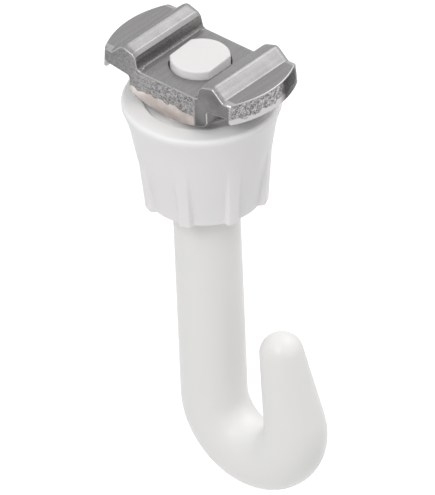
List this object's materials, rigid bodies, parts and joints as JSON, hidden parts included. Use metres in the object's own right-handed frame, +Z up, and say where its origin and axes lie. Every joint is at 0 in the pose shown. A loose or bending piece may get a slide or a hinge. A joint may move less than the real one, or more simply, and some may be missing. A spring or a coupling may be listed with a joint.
{
  "type": "picture rail hook",
  "caption": "J-shaped plastic hook hung from a metal twist-in clamp plate, with a sprung fluted collar that slides up the shank to grip a picture rail's lips.",
  "frame": {"origin": "on the shank's axis, at the height where the plate's lobes bear on the rail's lips", "axes": "+Z up along the shank, X along the plate's two lobes and across the rail, with +X the way the hook opens, Y along the rail"},
  "size_m": [0.0283, 0.019, 0.06],
  "materials": {
    "plate_aluminium": "satin extruded faces, rough blanked edges",
    "hook_plastic": "smooth moulded white",
    "collar_plastic": "smooth moulded white",
    "spring_steel": "drawn wire"
  },
  "bodies": {
    "hook_body": {"hook": "hook_plastic", "clamp_plate": "plate_aluminium", "retaining_pin": "spring_steel", "collar_spring": "spring_steel"},
    "collar_body": {"locking_collar": "collar_plastic"}
  },
  "joints": [
    {"name": "collar_slide", "type": "slide", "parent": "hook_body", "child": "collar_body", "axis": [0, 0, 1], "range_m": [-0.004, 0], "stiffness_N_per_m": 600, "springref_m": 0.006, "deforming": ["collar_spring"]}
  ]
}
